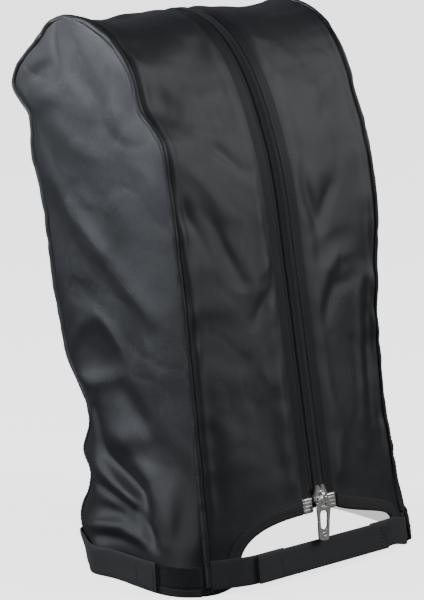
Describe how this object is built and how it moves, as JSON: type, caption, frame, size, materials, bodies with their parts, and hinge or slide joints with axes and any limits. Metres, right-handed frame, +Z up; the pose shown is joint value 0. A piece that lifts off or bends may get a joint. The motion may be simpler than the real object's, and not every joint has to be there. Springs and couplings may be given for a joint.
{
  "type": "golf bag rain hood",
  "caption": "Soft zip-up rain hood that fits over the clubs in a golf bag, with an arched front hem, a front strap and side gather straps.",
  "frame": {"origin": "middle of the seam-to-seam hem, on the floor the hem stands on", "axes": "+Z up, the front with the zipper and the arched opening faces -Y, the right-hand side as seen from the front is +X"},
  "size_m": [0.3302, 0.3026, 0.5363],
  "materials": {
    "coated_cloth": "black coated twill, soft satin sheen",
    "binding": "black woven binding tape, matte",
    "webbing": "dark grey woven webbing, matte",
    "hook_and_loop": "black hook-and-loop tape, matte",
    "zipper_tape": "black woven tape, matte",
    "zipper_coil": "black moulded coil, slight gloss",
    "metal": "satin nickel plate"
  },
  "bodies": {
    "hood_shell": {"left_side_panel": "coated_cloth", "right_side_panel": "coated_cloth", "front_left_panel": "coated_cloth", "front_right_panel": "coated_cloth", "back_panel": "coated_cloth", "left_seam_welt": "coated_cloth", "right_seam_welt": "coated_cloth", "crown_cross_seam": "binding", "arch_binding_left": "binding", "arch_binding_right": "binding", "left_hem_tape": "binding", "right_hem_tape": "binding", "back_hem_facing": "binding", "zipper_tape_left": "zipper_tape", "zipper_tape_right": "zipper_tape", "zipper_coil_left": "zipper_coil", "zipper_coil_right": "zipper_coil", "zipper_end_clips": "metal", "zipper_top_stops": "metal", "zipper_end_tab": "coated_cloth", "left_tab": "webbing", "right_tab": "webbing", "left_tab_loop_pad": "hook_and_loop", "front_strap_anchor": "webbing", "left_loop_patch": "hook_and_loop", "right_loop_patch": "hook_and_loop", "left_gather_anchor": "webbing", "right_gather_anchor": "webbing"},
    "zipper_slider": {"slider_body": "metal", "slider_bridge": "metal"},
    "zipper_pull": {"pull_tab": "metal"},
    "front_strap_free": {"front_strap": "webbing", "front_strap_hook_pad": "hook_and_loop"},
    "left_gather_free": {"left_gather_strap": "webbing", "left_gather_hook_pad": "hook_and_loop"},
    "right_gather_free": {"right_gather_strap": "webbing", "right_gather_hook_pad": "hook_and_loop"}
  },
  "joints": [
    {"name": "zipper_slide", "type": "slide", "parent": "hood_shell", "child": "zipper_slider", "axis": [0, 0.1966, 0.9805], "range_m": [0, 0.22]},
    {"name": "pull_swing", "type": "hinge", "parent": "zipper_slider", "child": "zipper_pull", "pos_m": [0, -0.10814, 0.07616], "axis": [-1, 0, 0], "range_deg": [0, 165]},
    {"name": "front_strap_swing", "type": "hinge", "parent": "hood_shell", "child": "front_strap_free", "pos_m": [0.0717, -0.11206, 0.0217], "axis": [0, 0.1305, 0.9914], "range_deg": [0, 150]},
    {"name": "left_gather_swing", "type": "hinge", "parent": "hood_shell", "child": "left_gather_free", "pos_m": [-0.14877, 0.07326, 0.0165], "axis": [0, 0, -1], "range_deg": [0, 110]},
    {"name": "right_gather_swing", "type": "hinge", "parent": "hood_shell", "child": "right_gather_free", "pos_m": [0.14877, 0.07326, 0.0165], "axis": [0, 0, 1], "range_deg": [0, 110]}
  ]
}
